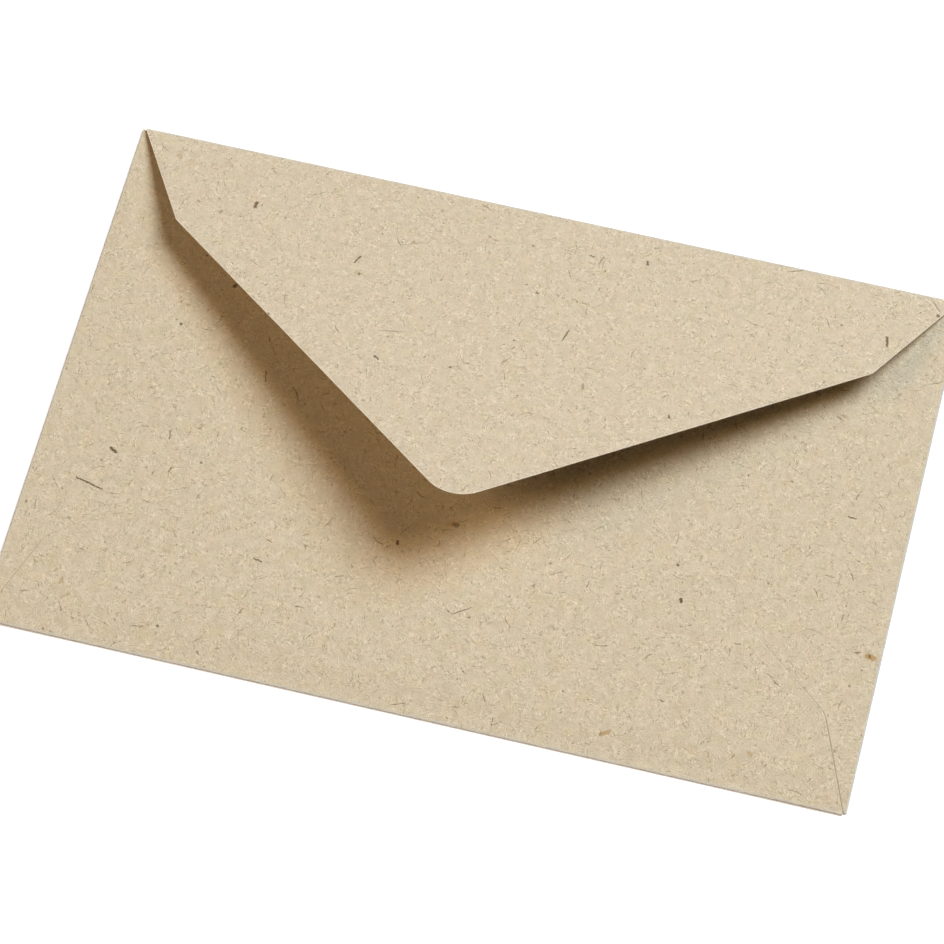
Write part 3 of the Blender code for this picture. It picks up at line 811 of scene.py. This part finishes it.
# Closing flap: the big pointed tab over the top crease. It was pressed shut once and has sprung
# up by 14 degrees, so it turns on its crease. Its shoulders start at the corners and its point
# is rounded. The left half is cut a little fuller than the right.
FLAP_LIFT = math.radians(14)
FLAP_MIDDLE = TOP_CREASE_RADIUS - PAPER / 2
LEFT_SHOULDER_X = -0.08723
RIGHT_SHOULDER_X = 0.08680
FLAP_LEFT_KINK = (-0.07385, HINGE_Y - 0.02430)
FLAP_POINT = (-0.00136, HINGE_Y - 0.08449)
FLAP_RIGHT_KINK = (0.07327, HINGE_Y - 0.02527)
FLAP_DEPTH = 0.0845
FLAP_KINK_RADIUS = 0.0035
FLAP_POINT_RADIUS = 0.0080
FLAP_FLECKS = (
    (-59.2, 75.9, 94, 1.4, 0.75, 0.85, BARK),
    (-78.3, 66.4, 59, 0.3, 0.90, 0.50, HUSK),
    (-35.0, 85.2, 111, 2.3, 0.37, 0.75, BARK),
    (-33.7, 89.4, 47, 0.1, 0.49, 0.80, BARK),
    (-24.5, 111.4, 39, 1.2, 0.44, 0.80, BARK),
    (-25.1, 77.0, 56, 0.2, 0.70, 0.60, HUSK),
    (-9.5, 109.7, 19, 0.1, 0.53, 0.70, BARK),
    (1.1, 98.5, 77, 0.1, 0.49, 0.80, BARK),
    (2.7, 83.8, 6, 0.4, 0.54, 0.70, BARK),
    (74.6, 76.2, 79, 2.6, 0.50, 0.85, BARK),
    (22.7, 68.5, 78, 0.7, 0.54, 0.80, BARK),
    (11.2, 69.9, 9, 0.8, 0.37, 0.65, BARK),
    (35.9, 110.1, 73, 0.8, 0.44, 0.75, BARK),
    (64.7, 74.3, 50, 0.1, 0.50, 0.70, BARK),
    (-13.4, 129.6, 178, 0.5, 0.60, 0.50, HUSK),
    (83.5, 65.7, 49, 0.2, 0.71, 0.80, BARK),
    (-48.5, 105.9, 40, 0.2, 0.45, 0.90, BARK),
)
# A crinkle at the top right corner: its pale lines are painted highlight and its dark lines painted shade,
# on the two sides of the ridge.
CORNER_CRINKLE_LIGHT_AND_SHADE = (
    (81.1, 62.1, 37, 2.4, 0.30, 0.40, KRAFT_CUT),
    (82.7, 63.9, 53, 2.0, 0.30, 0.45, KRAFT_CUT),
    (81.4, 61.8, 37, 2.6, 0.34, 0.20, BARK),
    (83.0, 63.5, 53, 2.2, 0.36, 0.36, BARK),
)

flap_level = HINGE_Z + FLAP_MIDDLE
flap_low = (-HALF_WIDTH, HINGE_Y - FLAP_DEPTH)
flap_high = (HALF_WIDTH, HINGE_Y)
closing_flap = start_sheet("closing_flap", flap_low, flap_high, flap_level)
trim_sheet(
    [
        (RIGHT_SHOULDER_X, HINGE_Y, 0),
        (LEFT_SHOULDER_X, HINGE_Y, 0),
        (*FLAP_LEFT_KINK, FLAP_KINK_RADIUS),
        (*FLAP_POINT, FLAP_POINT_RADIUS),
        (*FLAP_RIGHT_KINK, FLAP_KINK_RADIUS),
    ],
    flap_level,
)
grid_sheet(flap_low, flap_high)
hinge_point = (0, HINGE_Y, HINGE_Z)
bpy.ops.mesh.select_all(action="SELECT")
bpy.ops.transform.rotate(value=FLAP_LIFT, orient_axis="X", center_override=hinge_point)
root_z = HINGE_Z + FLAP_MIDDLE * math.cos(FLAP_LIFT)
root_y = HINGE_Y + FLAP_MIDDLE * math.sin(FLAP_LIFT)
select_points(closing_flap, lambda point: point.y > root_y - 1e-6)
bpy.ops.mesh.spin(steps=CREASE_STEPS, angle=math.pi - FLAP_LIFT, center=hinge_point, axis=(1, 0, 0))
bpy.ops.mesh.select_all(action="SELECT")
bpy.ops.mesh.remove_doubles(threshold=1e-6)


def unfold_flap(point):
    """Place on the flat sheet: round the crease first, then out along the flap."""
    y = point.y - HINGE_Y
    z = point.z - HINGE_Z
    out = -y * math.cos(FLAP_LIFT) + z * math.sin(FLAP_LIFT)
    arc_end = (math.pi - FLAP_LIFT) * FLAP_MIDDLE
    if out > 1e-7 and z > 0:
        return point.x, HINGE_Y + arc_end + out
    turn = max(math.atan2(y, -z), 0)
    return point.x, HINGE_Y + turn * FLAP_MIDDLE


kraft_flap = kraft_material("kraft_flap", KRAFT_ROSY, flecks=FLAP_FLECKS + CORNER_CRINKLE_LIGHT_AND_SHADE)
finish_sheet(closing_flap, kraft_flap, unfold_flap, lambda point: 1.0 if point.z > HINGE_Z else 0.0,
             waves=False)
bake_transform(closing_flap)
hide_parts("seal_flap", "top_fold")

# Gum strip: a V of dry gum rolled on along both straight edges of the flap's inside, round the
# point in one go. It is a thin glossy film, a little uneven at its rims, that is wetted to close
# the envelope.
GUM_FILM = 0.00003
GUM_LEVEL = 0.00090
GUM_WIDTH = 0.011
GUM_ARM = 0.0797
GUM_RISE = 0.0588
GUM_RUN = 0.0732
GUM_SLOPE = math.atan2(GUM_RISE, GUM_RUN)
GUM_OUTER_RADIUS = 0.012
GUM_CENTRE = Vector((0, HINGE_Y - 0.06517, GUM_LEVEL))
GUM_CORNER_RADIUS = 0.0028
GUM_SCORES = 17
GUM_SCORE_STEP = 0.004
GUM_COLOUR = (0.550, 0.440, 0.290, 1)
GUM_THIN = (0.585, 0.480, 0.330, 1)


def gum_material():
    """Dried gum: roller streaks along the arms, patches where it lies thin, and tiny bubbles."""
    material, tree, shader = start_material("dried_gum")
    point = add_node(tree, "TexCoord").outputs["Object"]
    place = add_node(tree, "SeparateXYZ", {"Vector": point}).outputs
    from_middle = figure(tree, "ABSOLUTE", place[0])
    folded = add_node(tree, "CombineXYZ", {"X": from_middle, "Y": place[1]}).outputs[0]
    turned = add_node(tree, "Mapping", {"Vector": folded, "Rotation": (0, 0, -GUM_SLOPE)}).outputs[0]
    drawn = add_node(tree, "Mapping", {"Vector": turned, "Scale": (90, 1500, 1)}).outputs[0]
    streak = flat_noise(tree, drawn, 1.0, 3.0)["Fac"]
    patch = flat_noise(tree, folded, 160.0, 2.0)["Fac"]
    bubbles = add_node(tree, "TexVoronoi", {"Vector": folded, "Scale": 900.0}, voronoi_dimensions="2D")
    pops = ramp(tree, bubbles.outputs["Distance"], 0.10, 0.20, 1.0, 0.0)
    thin = figure(tree, "MULTIPLY", ramp(tree, streak, 0.35, 0.65), ramp(tree, patch, 0.35, 0.65, 0.3, 1.0))
    tree.links.new(stain(tree, thin, GUM_COLOUR, GUM_THIN), shader.inputs["Base Color"])
    dull = figure(tree, "MULTIPLY_ADD", thin, 0.22, figure(tree, "MULTIPLY_ADD", pops, 0.15, 0.20))
    tree.links.new(dull, shader.inputs["Roughness"])
    height = figure(tree, "MULTIPLY_ADD", pops, 0.6, streak)
    bump = add_node(tree, "Bump", {"Height": height, "Strength": 0.4, "Distance": 0.00003})
    tree.links.new(bump.outputs[0], shader.inputs["Normal"])
    shader.inputs["Specular IOR Level"].default_value = 0.5
    return material


def gum_ripple(x, y):
    """How far the rolled rim of the gum strays from a straight line."""
    return 0.00012 * math.sin(x * 730) + 0.00010 * math.sin(x * 1310 + y * 90)


gum_strip = start_sheet("gum_strip", (-GUM_ARM, -GUM_OUTER_RADIUS),
                        (0, GUM_WIDTH - GUM_OUTER_RADIUS), GUM_LEVEL)
bpy.ops.transform.translate(value=(0, GUM_CENTRE.y, 0))
bpy.ops.transform.rotate(value=GUM_SLOPE, orient_axis="Z", center_override=GUM_CENTRE)
right_way = Vector((math.cos(GUM_SLOPE), math.sin(GUM_SLOPE), 0))
left_way = Vector((-right_way.x, right_way.y, 0))
select_points(gum_strip, lambda point: abs((point - GUM_CENTRE).dot(left_way)) < 1e-6)
bpy.ops.mesh.spin(steps=12, angle=2 * GUM_SLOPE, center=GUM_CENTRE, axis=(0, 0, -1))
bpy.ops.mesh.extrude_edges_move(TRANSFORM_OT_translate={"value": right_way * GUM_ARM})
select_points(
    gum_strip,
    lambda point: max((point - GUM_CENTRE).dot(way) for way in (left_way, right_way)) > GUM_ARM - 1e-6,
)
bpy.ops.mesh.bevel(offset=GUM_CORNER_RADIUS, segments=6, affect="VERTICES")
for step in range(-GUM_SCORES, GUM_SCORES + 1):
    slice_sheet((step * GUM_SCORE_STEP, 0, GUM_LEVEL), (1, 0, 0), drop=False)
bpy.ops.mesh.select_all(action="SELECT")
bpy.ops.mesh.remove_doubles(threshold=1e-6)
gum_shape = bmesh.from_edit_mesh(gum_strip.data)
for vertex in gum_shape.verts:
    if vertex.is_boundary:
        vertex.co.y += gum_ripple(vertex.co.x, vertex.co.y)
bmesh.ops.recalc_face_normals(gum_shape, faces=gum_shape.faces)
bmesh.update_edit_mesh(gum_strip.data)
bpy.ops.mesh.select_all(action="SELECT")
bpy.ops.transform.rotate(value=FLAP_LIFT, orient_axis="X", center_override=hinge_point)
bpy.ops.object.mode_set(mode="OBJECT")
film = gum_strip.modifiers.new("film", "SOLIDIFY")
film.thickness = GUM_FILM
film.offset = 0
bpy.ops.object.modifier_apply(modifier=film.name)
bpy.ops.object.shade_smooth_by_angle(angle=SMOOTH_ANGLE)
gum_strip.data.materials.append(gum_material())
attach(gum_strip, "flap")
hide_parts("seal_gum")

# Floor and backdrop: one pale table top. Two soft lamps from the right and behind, a cool one and
# a warm one a little nearer, make the soft edge of the shadow warm, and a weak warm lamp lights
# its inside from the left. The table shows white to the camera and keeps the shadow.
FLOOR_SIZE = 6
FLOOR_DROP = 0.00002
FLOOR_GLOW = 0.25
SKY_COLOUR = (0.012, 0.010, 0.008, 1)
WHITE = (1, 1, 1, 1)


def seen_directly(tree):
    """1 for what the camera sees itself, in a gloss or through glass, and 0 for other light."""
    paths = add_node(tree, "LightPath").outputs
    reflected = figure(tree, "MAXIMUM", paths["Is Glossy Ray"], paths["Is Transmission Ray"])
    return figure(tree, "MAXIMUM", paths["Is Camera Ray"], reflected)


bpy.ops.object.select_all(action="DESELECT")
bpy.ops.mesh.primitive_plane_add(size=FLOOR_SIZE, location=(0, 0, -FLOOR_DROP))
floor = bpy.context.object
floor.name = "table_top"
floor_material, floor_tree, floor_shader = start_material("white_table")
floor_shader.inputs["Base Color"].default_value = (0.88, 0.88, 0.88, 1)
floor_shader.inputs["Roughness"].default_value = 1.0
floor_shader.inputs["Specular IOR Level"].default_value = 0.0
floor_shader.inputs["Emission Color"].default_value = WHITE
floor_glow = figure(floor_tree, "MULTIPLY", seen_directly(floor_tree), FLOOR_GLOW)
floor_tree.links.new(floor_glow, floor_shader.inputs["Emission Strength"])
floor.data.materials.append(floor_material)


def soft_lamp(name, direction, distance, size, energy, colour):
    """A round area lamp that looks at the envelope from a direction."""
    towards = Vector(direction).normalized()
    bpy.ops.object.light_add(type="AREA", location=towards * distance,
                             rotation=towards.to_track_quat("Z", "Y").to_euler())
    lamp = bpy.context.object
    lamp.name = name
    lamp.data.shape = "DISK"
    lamp.data.size = size
    lamp.data.energy = energy
    lamp.data.color = colour


soft_lamp("cool_key_lamp", (0.545, 0.55, 1.0), 2.6, 1.56, 47.9, (0.603, 1.0, 1.397))
soft_lamp("warm_key_lamp", (0.545, 0.33, 1.0), 2.6, 1.56, 26.2, (1.507, 1.0, 0.493))
soft_lamp("fill_lamp", (-1.0, -0.35, 0.9), 2.2, 1.04, 12.0, (1.44, 1.0, 0.597))

world = bpy.data.worlds.new("studio")
bpy.context.scene.world = world
world.use_nodes = True
sky = world.node_tree
sky.nodes.clear()
glow = add_node(sky, "Background", {"Color": SKY_COLOUR, "Strength": 1.0}).outputs[0]
white = add_node(sky, "Background", {"Color": WHITE, "Strength": 1.0}).outputs[0]
mixed = add_node(sky, "MixShader", {0: seen_directly(sky), 1: glow, 2: white}).outputs[0]
sky_output = sky.nodes.new("ShaderNodeOutputWorld")
sky.links.new(mixed, sky_output.inputs[0])

bpy.context.scene.view_settings.view_transform = "Standard"
